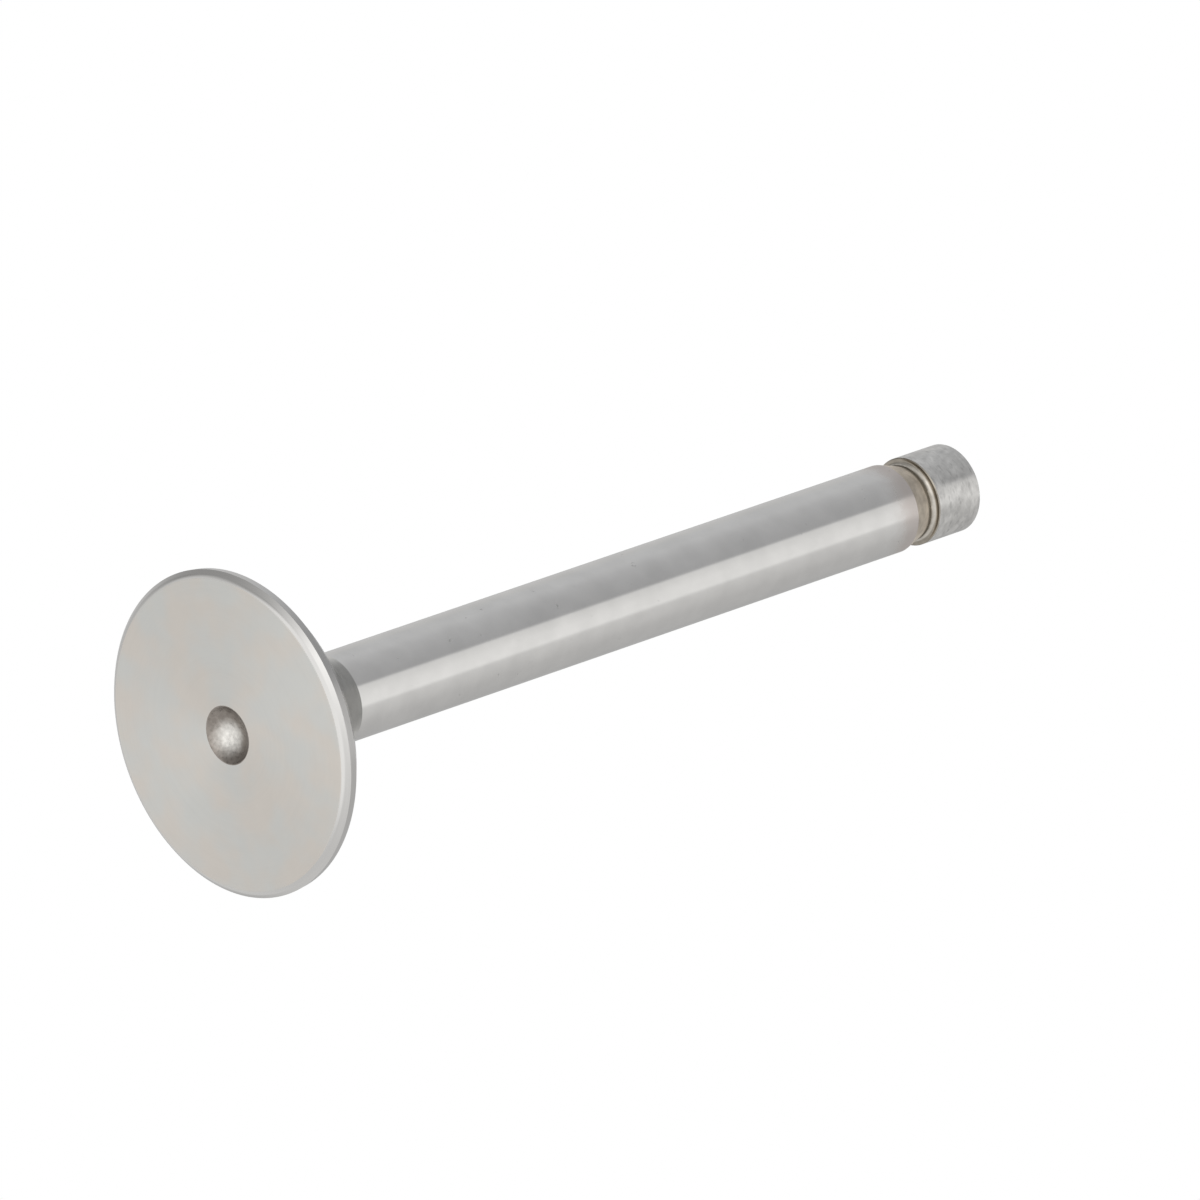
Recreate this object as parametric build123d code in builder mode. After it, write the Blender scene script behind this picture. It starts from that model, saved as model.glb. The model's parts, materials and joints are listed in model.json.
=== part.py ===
from build123d import *
import os
from math import cos, radians, sin, tan

# Poppet valve of a small side-valve engine: one turned and ground steel piece.
# It stands on the flat face of its head, stem upwards. The origin is the centre of
# that face and +Z runs along the stem to its tip. All lengths are in millimetres.

# Head, from the flat face upwards
head_diameter = 28.3
face_chamfer = 0.5  # bright 45 degree break between the face and the margin
face_edge_radius = 0.7  # soft run from the face into that break
margin_height = 0.7  # plain band that carries the full head diameter at its lower edge
margin_taper = 7.0  # the margin draws in towards the seat, measured from the stem
seat_angle = 45.0  # ground seat, measured from the plane of the face
seat_width = 2.0  # along the slope
seat_edge_radius = 0.4  # soft run from the seat into the underside

# Dimple left in the middle of the face
dimple_diameter = 5.0
dimple_depth = 1.1
dimple_lip_radius = 0.15

# Neck that carries the head on the stem
underside_angle = 24.0  # cone behind the seat, measured from the plane of the face
neck_radius = 9.0  # hollow between that cone and the flank
flank_angle = 12.0  # last stretch of the neck, measured from the stem
neck_height = 11.9  # face to the ring where the ground stem begins

# Stem, keeper groove and tip
stem_diameter = 7.9
valve_length = 88.2
tip_length = 5.5  # plain end beyond the keeper groove
tip_chamfer = 0.4
groove_length = 2.7  # from the ground stem to the shoulder that the keeper bears on
groove_taper = 16.0  # cone on the side of the head, measured from the stem
groove_hollow_radius = 0.45  # between that cone and the shoulder
groove_edge_break = 0.08  # at the rim of the shoulder

head_radius = head_diameter / 2
stem_radius = stem_diameter / 2
dimple_radius = dimple_diameter / 2
bowl_radius = (dimple_radius**2 + dimple_depth**2) / (2 * dimple_depth)

# The seat rises from the top of the margin and leans in towards the stem
face_radius = head_radius - face_chamfer
seat_bottom = face_chamfer + margin_height
seat_outer_radius = head_radius - margin_height * tan(radians(margin_taper))
seat_top = seat_bottom + seat_width * sin(radians(seat_angle))
seat_inner_radius = seat_outer_radius - seat_width * cos(radians(seat_angle))

# The underside cone and the flank would meet at this corner, which the hollow rounds
underside_slope = tan(radians(underside_angle))
flank_slope = tan(radians(flank_angle))
cone_height_at_stem = seat_top + (seat_inner_radius - stem_radius) * underside_slope
flank_rise = (neck_height - cone_height_at_stem) / (1 - underside_slope * flank_slope)
corner_radius = stem_radius + flank_rise * flank_slope
corner_height = neck_height - flank_rise

# Each millimetre of the hollow's radius takes this much of the cone and of the flank,
# so the shorter of the two sets the largest hollow that the neck has room for
side_per_radius = tan(radians(90 - underside_angle - flank_angle) / 2)
flank_length = flank_rise / cos(radians(flank_angle))
underside_length = (seat_inner_radius - corner_radius) / cos(radians(underside_angle))
neck_room = 0.95 * min(flank_length, underside_length) / side_per_radius

# The groove's cone would meet its shoulder this deep. The hollow rounds that corner and
# leaves the shoulder enough width for the broken edge.
groove_top = valve_length - tip_length
groove_depth = groove_length * tan(radians(groove_taper))
shoulder_width = groove_depth - groove_edge_break
groove_room = 0.95 * shoulder_width * tan(radians(90 - groove_taper) / 2)


def ring_at(radius, height):
    """The valve's circular edge of this radius at this height."""
    rings = valve.edges().filter_by(GeomType.CIRCLE)
    return rings.sort_by_distance((radius, 0, height))[0]


with BuildPart() as valve:
    # Half section of head, seat, underside, neck and stem, turned about the axis
    with BuildSketch(Plane.XZ) as outline:
        with BuildLine():
            Polyline(
                (0, 0),
                (face_radius, 0),
                (head_radius, face_chamfer),
                (seat_outer_radius, seat_bottom),
                (seat_inner_radius, seat_top),
                (corner_radius, corner_height),
                (stem_radius, neck_height),
                (stem_radius, valve_length),
                (0, valve_length),
                close=True,
            )
        make_face()
        for corner, radius in (
            ((face_radius, 0), face_edge_radius),
            ((seat_inner_radius, seat_top), seat_edge_radius),
            ((corner_radius, corner_height), min(neck_radius, neck_room)),
        ):
            fillet(outline.vertices().sort_by_distance(corner)[0], radius=radius)
        # The dimple is a bowl cut from a sphere, with a soft lip where it meets the face
        with Locations((0, dimple_depth - bowl_radius)):
            Circle(bowl_radius, mode=Mode.SUBTRACT)
        dimple_lip = outline.vertices().sort_by_distance((dimple_radius, 0))
        fillet(dimple_lip[0], radius=dimple_lip_radius)
    revolve(axis=Axis.Z)

    # Break at the end of the tip
    chamfer(ring_at(stem_radius, valve_length), length=tip_chamfer)

    # Keeper groove: a cone that runs in from the stem, a hollow and a square shoulder.
    # The cutter carries the cone and the shoulder on past the stem's surface.
    with BuildSketch(Plane.XZ) as groove:
        with BuildLine():
            Polyline(
                (stem_radius - groove_depth, groove_top),
                (stem_radius + groove_depth, groove_top),
                (stem_radius + groove_depth, groove_top - 2 * groove_length),
                close=True,
            )
        make_face()
        groove_corner = groove.vertices().sort_by(Axis.X)[0]
        fillet(groove_corner, radius=min(groove_hollow_radius, groove_room))
    revolve(axis=Axis.Z, mode=Mode.SUBTRACT)
    chamfer(ring_at(stem_radius, groove_top), length=groove_edge_break)

os.makedirs("parts", exist_ok=True)
valve.part.label = "valve"
export_step(valve.part, "parts/valve.step")
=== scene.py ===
import bpy
import bmesh
import json
from math import asin, cos, pi, radians, sin, tan
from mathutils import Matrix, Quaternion, Vector


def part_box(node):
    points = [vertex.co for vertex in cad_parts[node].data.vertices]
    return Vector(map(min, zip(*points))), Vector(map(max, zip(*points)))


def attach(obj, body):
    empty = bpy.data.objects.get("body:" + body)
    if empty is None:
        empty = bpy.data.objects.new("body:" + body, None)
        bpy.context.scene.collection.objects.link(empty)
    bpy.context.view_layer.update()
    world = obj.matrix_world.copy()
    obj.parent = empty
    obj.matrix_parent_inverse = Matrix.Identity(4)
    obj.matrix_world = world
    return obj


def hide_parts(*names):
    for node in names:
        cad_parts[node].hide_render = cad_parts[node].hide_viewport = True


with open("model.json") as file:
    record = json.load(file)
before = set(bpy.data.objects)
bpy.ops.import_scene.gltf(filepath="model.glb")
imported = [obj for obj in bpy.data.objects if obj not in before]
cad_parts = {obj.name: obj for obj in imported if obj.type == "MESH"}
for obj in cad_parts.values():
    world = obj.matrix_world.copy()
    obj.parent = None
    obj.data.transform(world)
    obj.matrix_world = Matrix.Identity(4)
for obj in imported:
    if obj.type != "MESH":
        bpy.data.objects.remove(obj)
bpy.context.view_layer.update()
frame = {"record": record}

# Camera. The picture was taken from in front of the head and well to one side, through
# a long lens, with the stem running away up to the right. The valve stands on its head
# here, so the camera is below it, looks up, and is turned about its own view.
camera_place = Vector((0, -0.8931, -0.7693))
camera_aim = Vector((-0.000594, 0, 0.044674))
camera_turn = radians(71.05)

camera_data = bpy.data.cameras.new("camera")
camera_data.lens = 424.3
camera_data.sensor_width = 36
camera_data.clip_end = 100
camera = bpy.data.objects.new("camera", camera_data)
camera.location = camera_place
level = (camera_aim - camera_place).to_track_quat("-Z", "Y")
camera.rotation_mode = "QUATERNION"
camera.rotation_quaternion = level @ Quaternion((0, 0, 1), camera_turn)
bpy.context.scene.collection.objects.link(camera)
bpy.context.scene.camera = camera
bpy.context.scene.view_settings.view_transform = "Standard"


# Studio. Bare steel shows its surroundings, so the room is drawn all round: grey walls,
# a tall soft panel on the camera's side, a bright low reflector, a dark ceiling, a pale
# board low on each side and a white card straight behind the valve.
class Shade:
    """A value in a node tree: arithmetic on it adds the nodes that do the sum."""

    def __init__(self, tree, socket):
        self.tree = tree
        self.socket = socket

    def node(self, kind, settings=None, **sockets):
        """A node of this kind: settings first, then a value or a link for each socket.

        A socket goes by its label, or by its place as _0, _1 and so on.
        """
        made = self.tree.nodes.new(kind)
        for name, setting in (settings or {}).items():
            if name == "stops":
                ramp = made.color_ramp.elements
                while len(ramp) < len(setting):
                    ramp.new(0.5)
                for stop, (place, colour) in zip(ramp, setting):
                    stop.position = place
                    stop.color = (*colour, 1)
            else:
                setattr(made, name, setting)
        for name, value in sockets.items():
            key = int(name[1:]) if name[1:].isdigit() else name.replace("_", " ")
            if isinstance(value, Shade):
                self.tree.links.new(value.socket, made.inputs[key])
            else:
                made.inputs[key].default_value = value
        return made

    def result(self, made, output=0):
        return Shade(self.tree, made.outputs[output])

    def sum(self, operation, first, second=0.0):
        made = self.node("ShaderNodeMath", {"operation": operation}, _0=first, _1=second)
        return self.result(made)

    def __add__(self, other):
        return self.sum("ADD", self, other)

    def __sub__(self, other):
        return self.sum("SUBTRACT", self, other)

    def __mul__(self, other):
        return self.sum("MULTIPLY", self, other)

    def __truediv__(self, other):
        return self.sum("DIVIDE", self, other)

    def __radd__(self, other):
        return self.sum("ADD", other, self)

    def __rsub__(self, other):
        return self.sum("SUBTRACT", other, self)

    def __rmul__(self, other):
        return self.sum("MULTIPLY", other, self)

    def rise(self, start, end):
        """0 before start and 1 after end, with a soft step between."""
        made = self.node(
            "ShaderNodeMapRange",
            {"interpolation_type": "SMOOTHSTEP"},
            Value=self,
            From_Min=start,
            From_Max=end,
        )
        return self.result(made)

    def within(self, start, end, soft):
        """1 between start and end, falling to 0 over the soft distance outside."""
        return self.rise(start - soft, start) * (1 - self.rise(end, end + soft))

    def mixed(self, share, other):
        """This value, giving way to the other by this share of it."""
        return self * (1 - share) + other * share

    def blend(self, share, first, second):
        """One colour or the other, by this share of the second."""
        made = self.node(
            "ShaderNodeMix", {"data_type": "RGBA"}, _0=share, _6=first, _7=second
        )
        return self.result(made, 2)


room = bpy.data.worlds.new("studio")
bpy.context.scene.world = room
room.use_nodes = True
room.node_tree.nodes.clear()
walls = Shade(room.node_tree, None)
direction = walls.result(walls.node("ShaderNodeTexCoord"), "Generated")
split = walls.node("ShaderNodeSeparateXYZ", Vector=direction)
across, away, upward = (walls.result(split, k) for k in range(3))
turn = walls.sum("ARCTAN2", 0 - across, 0 - away) * (180 / pi)
height = walls.sum("ARCSINE", upward) * (180 / pi)
turn_share = turn / 360 + 0.5


def room_ring(*levels):
    """Brightness all round the room at one height, from (degrees, brightness) pairs."""
    # The ramp is drawn at half brightness and doubled, so that no stop on it passes 1
    stops = [(degrees / 360 + 0.5, (level / 2,) * 3) for degrees, level in levels]
    ramp = walls.node("ShaderNodeValToRGB", {"stops": stops}, Fac=turn_share)
    return walls.result(ramp) * 2


# Brightness high on the walls, half way and low down. The angle is 0 towards the camera
# and grows to its left. Heights are in degrees above the horizon.
high_ring = room_ring(
    (-180, 0.62), (-150, 0.54), (-130, 0.63), (-110, 0.68), (-90, 0.73), (-70, 0.85),
    (-50, 0.95), (-43, 0.99), (-41, 1.34), (-30, 1.29), (-16, 1.26), (0, 1.14),
    (9, 1.11), (10.5, 0.56), (24, 0.60), (36, 0.62), (50, 0.65), (70, 0.71),
    (90, 0.80), (110, 0.77), (130, 0.75), (150, 0.74), (180, 0.62),
)
middle_ring = room_ring(
    (-180, 0.95), (-150, 0.88), (-105, 0.86), (-60, 0.92), (-32, 1.00), (0, 1.10),
    (32, 1.14), (60, 0.92), (84, 0.64), (105, 0.47), (140, 0.40), (180, 0.95),
)
low_ring = room_ring(
    (-180, 0.94), (-150, 0.84), (-105, 0.86), (-60, 1.02), (-32, 1.13), (0, 1.40),
    (32, 1.65), (60, 1.05), (84, 0.62), (105, 0.48), (118, 0.47), (132, 0.70),
    (148, 0.89), (180, 0.94),
)
upper = height.rise(-12, 22)
brightness = low_ring.mixed(height.rise(-36, -20), middle_ring).mixed(upper, high_ring)

# The two boards, the ceiling, the light that comes from below and the white card
board_level = 0.87
ceiling_level = 0.28
below_level = 1.30
card_level = 1.0
card_reach = radians(4)
card_fade = radians(6)

sideways = walls.sum("ABSOLUTE", turn)
board = sideways.within(82, 98, 4) * height.within(-3, 1, 2)
ceiling = height.rise(49, 59)
below = (0 - height).rise(48, 66)
view = (camera_aim - camera_place).normalized()
towards = walls.node(
    "ShaderNodeVectorMath", {"operation": "DOT_PRODUCT"}, _0=direction, _1=view
)
card = walls.result(towards, "Value").rise(cos(card_fade), cos(card_reach))
brightness = brightness.mixed(board, board_level).mixed(ceiling, ceiling_level)
brightness = brightness.mixed(below, below_level).mixed(card, card_level)

# The left wall is a little cooler than the rest of the room
plain_light = (1, 1, 1, 1)
cool_light = (0.985, 0.998, 1.02, 1)

cool = turn.within(12, 120, 6) * upper
colour = walls.blend(cool, plain_light, cool_light)
background = walls.node("ShaderNodeBackground", Color=colour, Strength=brightness)
walls.node("ShaderNodeOutputWorld", Surface=walls.result(background))


# Floor. A plain pale table top that the valve stands on. It is there for a viewer above
# it only: from below, where the picture was taken, it lets the view of the head through.
floor_width = 60.0
floor_drop = 0.00002  # keeps the table out of the plane of the face that stands on it
floor_colour = (0.86, 0.86, 0.86, 1)

disc = bmesh.new()
bmesh.ops.create_circle(disc, cap_ends=True, segments=96, radius=floor_width / 2)
bmesh.ops.translate(disc, verts=disc.verts, vec=(0, 0, -floor_drop))
for cap in disc.faces:
    if cap.normal.z < 0:
        cap.normal_flip()
floor_mesh = bpy.data.meshes.new("floor")
disc.to_mesh(floor_mesh)
disc.free()
floor = bpy.data.objects.new("floor", floor_mesh)
bpy.context.scene.collection.objects.link(floor)

table = bpy.data.materials.new("pale_table")
table.use_nodes = True
table.node_tree.nodes.clear()
top = Shade(table.node_tree, None)
matt = top.node("ShaderNodeBsdfDiffuse", Color=floor_colour)
clear = top.node("ShaderNodeBsdfTransparent")
underside = top.result(top.node("ShaderNodeNewGeometry"), "Backfacing")
one_sided = top.node(
    "ShaderNodeMixShader", Fac=underside, _1=top.result(matt), _2=top.result(clear)
)
top.node("ShaderNodeOutputMaterial", Surface=top.result(one_sided))
floor_mesh.materials.append(table)
floor.visible_glossy = False
floor.visible_shadow = False

# A soft lamp, high up on the left and in front of the valve, lights the table and throws
# the valve's shadow
lamp_data = bpy.data.lights.new("lamp", "SUN")
lamp_data.energy = 1.5
lamp_data.angle = radians(20)
lamp = bpy.data.objects.new("lamp", lamp_data)
lamp.rotation_mode = "QUATERNION"
lamp.rotation_quaternion = Vector((0.5, 0.35, -1)).to_track_quat("-Z", "Y")
lamp.visible_glossy = False
bpy.context.scene.collection.objects.link(lamp)


# Valve. One steel forging: the head is turned and its seat ground, the neck is turned,
# and the stem is ground all the way to the tip. A keeper slides into the groove near the
# tip and bears on its square shoulder.
mount = {m["name"]: m for m in frame["record"]["mounts"]}
mm = 0.001
solid_low, solid_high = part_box("valve")
head_radius = solid_high.x / mm
valve_length = (solid_high - solid_low).z / mm
stem_radius = mount["guide_stem"]["dims"]["r_mm"]
groove_length = mount["keeper_groove"]["dims"]["length_mm"]
groove_middle = mount["keeper_groove"]["pos_m"][2] / mm
groove_bottom = groove_middle - groove_length / 2
groove_top = groove_middle + groove_length / 2
face_chamfer = 0.5
face_edge_radius = 0.7
margin_height = 0.7
margin_taper = radians(7)
seat_width = 2.0
seat_angle = radians(45)
seat_edge_radius = 0.4
dimple_radius = 2.5
dimple_depth = 1.1
dimple_lip = 0.066
face_limit = 0.02  # the face's finish ends this high on its soft edge
underside_angle = radians(24)
flank_angle = radians(12)
neck_radius = 9.0
neck_height = 11.9
tip_chamfer = 0.4
groove_taper = radians(16)
groove_hollow_radius = 0.45
groove_edge_break = 0.08
turned_steps = 192
crisp_angle = radians(10)

seat_bottom = face_chamfer + margin_height
seat_outer = head_radius - margin_height * tan(margin_taper)
seat_top = seat_bottom + seat_width * sin(seat_angle)
seat_inner = seat_outer - seat_width * cos(seat_angle)

# The underside cone and the flank of the neck would meet at this corner, which a large
# hollow rounds
slope = tan(underside_angle)
steep = tan(flank_angle)
cone_at_stem = seat_top + (seat_inner - stem_radius) * slope
flank_rise = (neck_height - cone_at_stem) / (1 - slope * steep)
corner = Vector((stem_radius + flank_rise * steep, 0, neck_height - flank_rise))
neck_turn = radians(90) - underside_angle - flank_angle
along_cone = Vector((cos(underside_angle), 0, -sin(underside_angle)))
neck_start = corner + neck_radius * tan(neck_turn / 2) * along_cone
off_cone = Vector((sin(underside_angle), 0, cos(underside_angle)))
neck_centre = neck_start + neck_radius * off_cone

# A small hollow rounds the corner where the groove's cone would meet its shoulder
groove_depth = groove_length * tan(groove_taper)
groove_corner = Vector((stem_radius - groove_depth, 0, groove_top))
groove_turn = radians(90) + groove_taper
back_down = Vector((sin(groove_taper), 0, -cos(groove_taper)))
groove_start = groove_corner + groove_hollow_radius * tan(groove_turn / 2) * back_down
off_groove = Vector((cos(groove_taper), 0, sin(groove_taper)))
groove_centre = groove_start + groove_hollow_radius * off_groove

section = bmesh.new()
pen = []


def line_to(radius, height):
    """Carries the half section on to this point and gives its vertex."""
    vertex = section.verts.new((radius, 0, height))
    if pen:
        section.edges.new((pen[-1], vertex))
    pen.append(vertex)
    return vertex


def arc_on(centre, angle, steps):
    """Carries the half section on along an arc about this centre."""
    run = bmesh.ops.spin(
        section,
        geom=[pen[-1]],
        cent=centre,
        axis=(0, 1, 0),
        angle=angle,
        steps=steps,
        use_merge=False,
        use_duplicate=False,
    )
    pen.append([v for v in run["geom_last"] if isinstance(v, bmesh.types.BMVert)][0])


bowl_radius = (dimple_radius**2 + dimple_depth**2) / (2 * dimple_depth)
line_to(0, dimple_depth)
arc_on((0, 0, dimple_depth - bowl_radius), asin(dimple_radius / bowl_radius), steps=48)
lip = pen[-1]
face_edge = line_to(head_radius - face_chamfer, 0)
line_to(head_radius, face_chamfer)
line_to(seat_outer, seat_bottom)
seat_edge = line_to(seat_inner, seat_top)
line_to(*neck_start.xz)
arc_on(neck_centre, neck_turn, steps=24)
line_to(stem_radius, neck_height)
line_to(stem_radius, groove_bottom)
line_to(*groove_start.xz)
arc_on(groove_centre, groove_turn, steps=16)
shoulder_rim = line_to(stem_radius, groove_top)
tip_edge = line_to(stem_radius, valve_length)
line_to(0, valve_length)


def soften(vertex, width, segments):
    """Rounds a corner of the half section, or breaks it where there is one segment."""
    bmesh.ops.bevel(
        section,
        geom=[vertex],
        offset=width,
        offset_type="OFFSET",
        segments=segments,
        profile=0.5,
        affect="VERTICES",
        material=-1,
        clamp_overlap=False,
    )


face_edge_width = face_edge_radius * tan(radians(45) / 2)
seat_edge_width = seat_edge_radius * tan((seat_angle - underside_angle) / 2)
soften(lip, dimple_lip, segments=8)
soften(face_edge, face_edge_width, segments=8)
soften(seat_edge, seat_edge_width, segments=4)
soften(shoulder_rim, groove_edge_break, segments=1)
soften(tip_edge, tip_chamfer, segments=1)

bmesh.ops.spin(
    section,
    geom=section.verts[:] + section.edges[:],
    cent=(0, 0, 0),
    axis=(0, 0, 1),
    angle=2 * pi,
    steps=turned_steps,
    use_merge=True,
    use_duplicate=False,
)
bmesh.ops.remove_doubles(section, verts=section.verts, dist=0.0005)
bmesh.ops.recalc_face_normals(section, faces=section.faces)

# Each stretch of the surface has its own finish, from the dimple up to the end of the
# tip. Their materials are added further down, in this order.
finishes = ["dimple", "face", "chamfer", "margin", "seat", "neck", "stem", "groove", "tip"]


def finish_at(radius, height):
    """The finish of the surface at this radius and height."""
    if height < dimple_depth and radius < dimple_radius + dimple_lip:
        return "dimple"
    if height < face_limit:
        return "face"
    if height < face_chamfer:
        return "chamfer"
    if height < seat_bottom:
        return "margin"
    if height < seat_top and radius > seat_inner:
        return "seat"
    if height < neck_height:
        return "neck"
    if height < groove_bottom:
        return "stem"
    if height < groove_top + groove_edge_break:
        return "groove"
    return "tip"


for face in section.faces:
    centre = face.calc_center_median()
    face.material_index = finishes.index(finish_at(centre.xy.length, centre.z))
    face.smooth = True
bmesh.ops.scale(section, verts=section.verts, vec=(mm, mm, mm))

valve_mesh = bpy.data.meshes.new("valve_body")
section.to_mesh(valve_mesh)
section.free()
valve_mesh.set_sharp_from_angle(angle=crisp_angle)
valve = bpy.data.objects.new("valve_body", valve_mesh)
bpy.context.scene.collection.objects.link(valve)

# Finishes. Turning leaves fine rings and grinding a closer grain, both running round the
# axis, so light spreads along the stem and outwards on the face. Patterns are in
# millimetres.
steel_colour = (0.576, 0.567, 0.552)


class Finish(Shade):
    """The shader of one finish, with the place on the valve that it colours."""

    def __init__(self, name):
        self.material = bpy.data.materials.new(name)
        self.material.use_nodes = True
        self.material.node_tree.nodes.clear()
        super().__init__(self.material.node_tree, None)
        metres = self.result(self.node("ShaderNodeTexCoord"), "Object")
        scaled = self.node(
            "ShaderNodeVectorMath", {"operation": "SCALE"}, _0=metres, Scale=1 / mm
        )
        self.place = self.result(scaled)
        split = self.node("ShaderNodeSeparateXYZ", Vector=self.place)
        self.x, self.y, self.z = (self.result(split, k) for k in range(3))
        self.radius = self.sum("SQRT", self.x * self.x + self.y * self.y)

    def cloud(self, per_mm, detail=2.0):
        """Soft blotches between about -0.5 and 0.5, this many to a millimetre."""
        made = self.node(
            "ShaderNodeTexNoise",
            {"noise_dimensions": "3D"},
            Vector=self.place,
            Scale=per_mm,
            Detail=detail,
        )
        return self.result(made) - 0.5

    def rings(self, along, per_mm, drawn_out):
        """Tool marks round the axis, between about -0.5 and 0.5."""
        share = per_mm / drawn_out
        place = self.node(
            "ShaderNodeCombineXYZ", X=self.x * share, Y=self.y * share, Z=along * per_mm
        )
        made = self.node(
            "ShaderNodeTexNoise",
            {"noise_dimensions": "3D"},
            Vector=self.result(place),
            Scale=1.0,
            Detail=3.0,
            Roughness=0.6,
        )
        return self.result(made) - 0.5

    def shaded(self, colour, level):
        """A colour made lighter or darker by a level that changes over the surface."""
        made = self.node(
            "ShaderNodeVectorMath", {"operation": "SCALE"}, _0=colour, Scale=level
        )
        return self.result(made)

    def steel(self, colour, roughness, relief, spread):
        """Finishes the material: relief is the height of the surface in millimetres."""
        bump = self.node("ShaderNodeBump", Strength=1.0, Distance=mm, Height=relief)
        surface = self.node(
            "ShaderNodeBsdfPrincipled",
            Base_Color=colour,
            Metallic=1.0,
            Roughness=roughness,
            Anisotropic=spread,
            Anisotropic_Rotation=0.25,
            Normal=self.result(bump),
        )
        self.node("ShaderNodeOutputMaterial", Surface=self.result(surface))
        valve_mesh.materials.append(self.material)


def steel_toned(share, tint=(1, 1, 1)):
    """Steel at this brightness and tint, for stains, scale and painted shade and
    highlight.
    """
    return tuple(share * c * t for c, t in zip(steel_colour, tint))


def four(colour):
    """The colour with its alpha, as blend takes it."""
    return (*colour, 1)


# Dimple: pressed, not machined. Its rim is darkened, partly by scale and partly by painted
# shade, and a painted highlight brightens its bottom a little to one side.
painted_highlight_steel = four(steel_toned(1.1, (1.01, 1.0, 0.97)))
scale_and_painted_shade = four(steel_toned(0.42, (1.1, 1.0, 0.92)))
# Where the painted highlight sits, in millimetres from the axis
painted_highlight_spot = (0.2, 0.7)

dimple = Finish("dimple_steel")
spot_x = dimple.x - painted_highlight_spot[0]
spot_y = dimple.y - painted_highlight_spot[1]
from_spot = dimple.sum("SQRT", spot_x * spot_x + spot_y * spot_y) + 0.5 * dimple.cloud(1.8)
# Scale and painted shade darken the bowl away from the painted highlight
shade_and_scale_share = from_spot.rise(0.5, 1.9)
pits = dimple.cloud(3.0, detail=4.0)
dimple.steel(
    colour=dimple.shaded(dimple.blend(shade_and_scale_share, painted_highlight_steel, scale_and_painted_shade), 1 + 0.9 * pits),
    roughness=0.30 + 0.2 * pits,
    relief=0.05 * pits,
    spread=0.0,
)

# Face: turned, with fine rings, faint warm blotches and a satin spread
greyer_steel = four(steel_toned(1.0, (0.988, 1.002, 0.990)))
warmer_steel = four(steel_toned(1.0, (1.036, 0.990, 0.938)))

face = Finish("face_steel")
marks = face.rings(face.radius, per_mm=6.0, drawn_out=60)
warmth = face.cloud(0.22).rise(-0.15, 0.15)
tint = face.blend(warmth, greyer_steel, warmer_steel)
face.steel(
    colour=face.shaded(tint, 1 + 0.05 * marks + 0.05 * face.cloud(0.5)),
    roughness=0.33 + 0.04 * marks,
    relief=0.0006 * marks,
    spread=0.6,
)

# Chamfer, margin and seat: the margin is a little duller and rougher than the other two
chamfer = Finish("chamfer_steel")
marks = chamfer.rings(chamfer.z, per_mm=8.0, drawn_out=30)
chamfer.steel(
    colour=chamfer.shaded(steel_colour, 1 + 0.10 * marks),
    roughness=0.20 + 0.06 * marks,
    relief=0.0004 * marks,
    spread=0.3,
)
margin = Finish("margin_steel")
marks = margin.rings(margin.z, per_mm=6.0, drawn_out=12)
margin.steel(
    colour=margin.shaded(steel_toned(0.97), 1 + 0.16 * marks),
    roughness=0.30 + 0.10 * marks,
    relief=0.0006 * marks,
    spread=0.3,
)
seat = Finish("seat_steel")
marks = seat.rings(seat.z, per_mm=10.0, drawn_out=60)
seat.steel(
    colour=seat.shaded(steel_colour, 1 + 0.05 * marks),
    roughness=0.22 + 0.05 * marks,
    relief=0.0004 * marks,
    spread=0.6,
)

# Neck: turned, and blotched from the forging beneath
neck_colour = steel_toned(1.0, (1.0, 1.0, 0.98))

neck = Finish("neck_steel")
marks = neck.rings(neck.z, per_mm=5.0, drawn_out=20)
blotch = neck.cloud(1.1, detail=3.0)
neck.steel(
    colour=neck.shaded(neck_colour, 1 + 0.14 * marks + 0.34 * blotch),
    roughness=0.26 + 0.08 * marks,
    relief=0.0008 * marks + 0.002 * blotch,
    spread=0.4,
)

# Stem: ground to an even, close grain, with a few small nicks. Heat and oil have stained
# it where the groove begins.
stem_stain = four(steel_toned(0.86, (1.05, 0.98, 0.95)))

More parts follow.
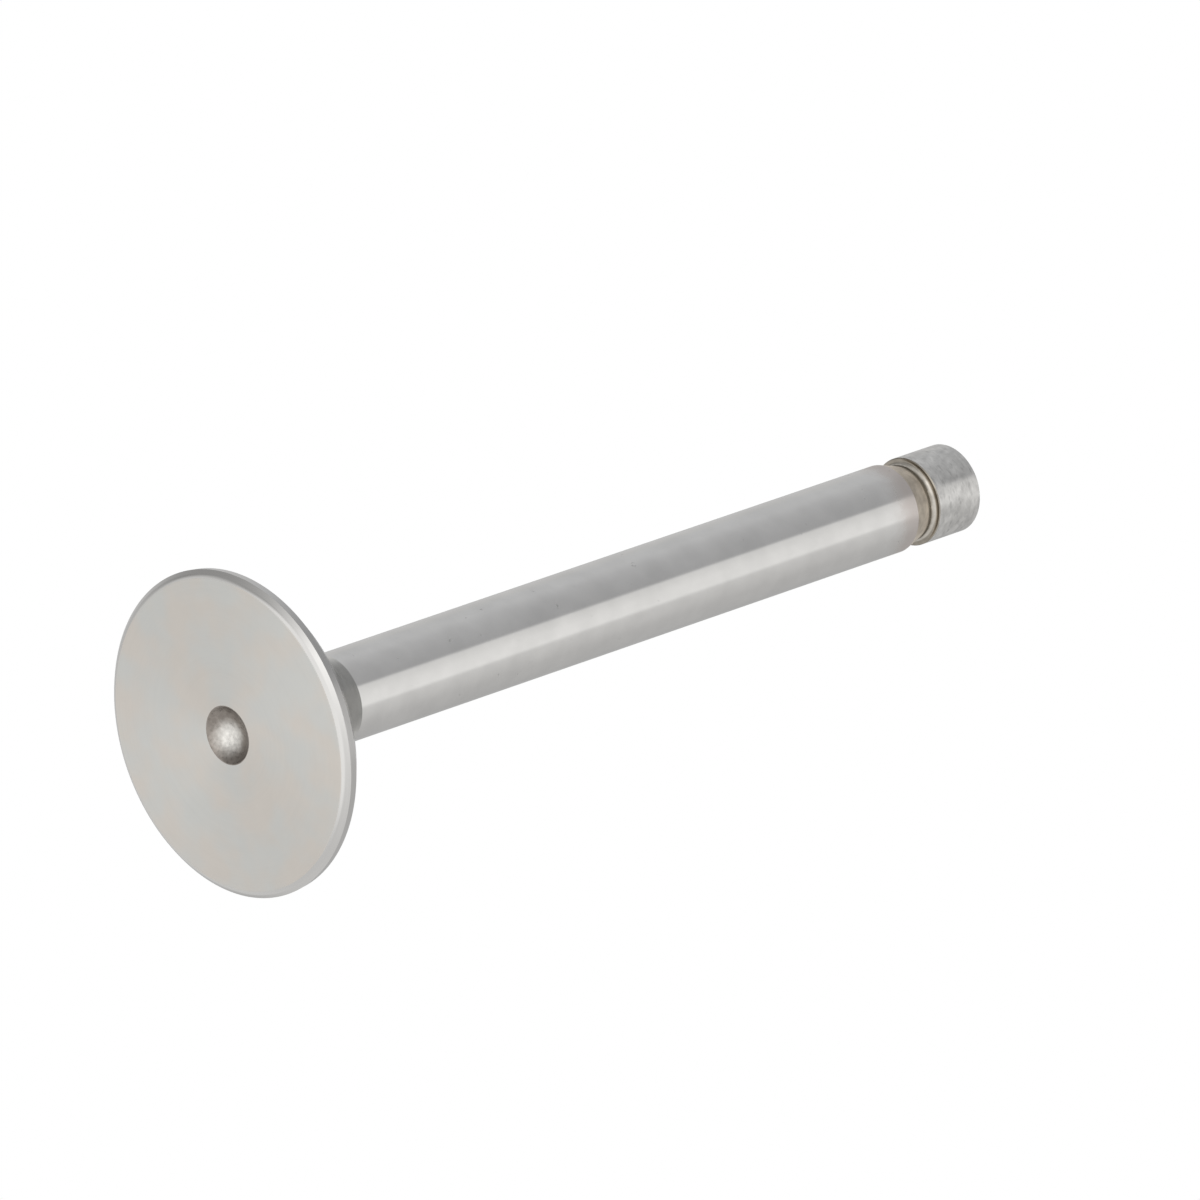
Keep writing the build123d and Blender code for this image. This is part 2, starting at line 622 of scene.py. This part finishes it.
stem = Finish("stem_steel")
marks = stem.rings(stem.z, per_mm=6.0, drawn_out=24)
blotch = stem.cloud(0.35, detail=3.0)
ragged = stem.z + 2.0 * stem.cloud(0.8)
stained = ragged.rise(groove_bottom - 3.2, groove_bottom - 0.4)
tint = stem.blend(stained, four(steel_colour), stem_stain)
nicks = stem.cloud(1.5, detail=3.0).rise(0.2, 0.26)
stem.steel(
    colour=stem.shaded(tint, 1 + 0.035 * marks + 0.22 * blotch - 0.2 * nicks),
    roughness=0.21 + 0.03 * marks + 0.12 * stained + 0.1 * nicks,
    relief=0.0003 * marks + 0.0012 * blotch,
    spread=0.75,
)

# Groove: stained straw on its cone, with brown painted shade on its shoulder. A dark line
# of painted shade lies at the start of the hollow, and the keeper has rubbed the hollow
# beyond it.
straw_stain = four(steel_toned(1.06, (1.07, 0.97, 0.84)))
rubbed_steel = four(steel_toned(0.85, (1.03, 0.98, 0.90)))
# Painted shade: a dark line in the crease at the start of the hollow, then the shoulder's
painted_crease_shade = four(steel_toned(0.40, (1.1, 1.0, 0.84)))
painted_shoulder_shade = four(steel_toned(0.50, (1.06, 0.98, 0.86)))
hollow_start = groove_start.z

groove = Finish("groove_steel")
marks = groove.rings(groove.z, per_mm=7.0, drawn_out=10)
blotch = groove.cloud(1.2, detail=3.0)
wavy = groove.z + 0.25 * blotch
# A dark line of painted shade where the cone turns into the hollow
crease_shade_share = wavy.within(hollow_start - 0.12, hollow_start + 0.15, soft=0.25)
rubbed = wavy.rise(hollow_start, hollow_start + 0.3)
# Brown painted shade on the shoulder and the top of the hollow
shoulder = groove.z.rise(groove_top - 0.10, groove_top - 0.03)
tint = groove.blend(rubbed, straw_stain, rubbed_steel)
tint = groove.blend(crease_shade_share, tint, painted_crease_shade)
tint = groove.blend(shoulder, tint, painted_shoulder_shade)
groove.steel(
    colour=groove.shaded(tint, 1 + 0.2 * marks + 0.9 * blotch),
    roughness=0.38 - 0.08 * crease_shade_share - 0.21 * rubbed + 0.08 * marks,
    relief=0.0008 * marks,
    spread=0.6,
)

# Tip: hardened and left greyer and rougher than the stem, blotched and scuffed dark by
# handling
tip_colour = steel_toned(0.97, (1.0, 1.0, 0.995))

tip = Finish("tip_steel")
marks = tip.rings(tip.z, per_mm=5.0, drawn_out=8)
blotch = tip.cloud(1.0, detail=4.0)
scuffs = tip.rings(tip.z, per_mm=2.6, drawn_out=2.5)
scuffed = (scuffs + 0.7 * blotch).rise(0.0, 0.22)
tip.steel(
    colour=tip.shaded(tip_colour, 1 + 0.2 * marks + 1.1 * blotch - 0.26 * scuffed),
    roughness=0.33 + 0.16 * blotch,
    relief=0.0008 * marks + 0.003 * blotch,
    spread=0.5,
)

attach(valve, "root")
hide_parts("valve")
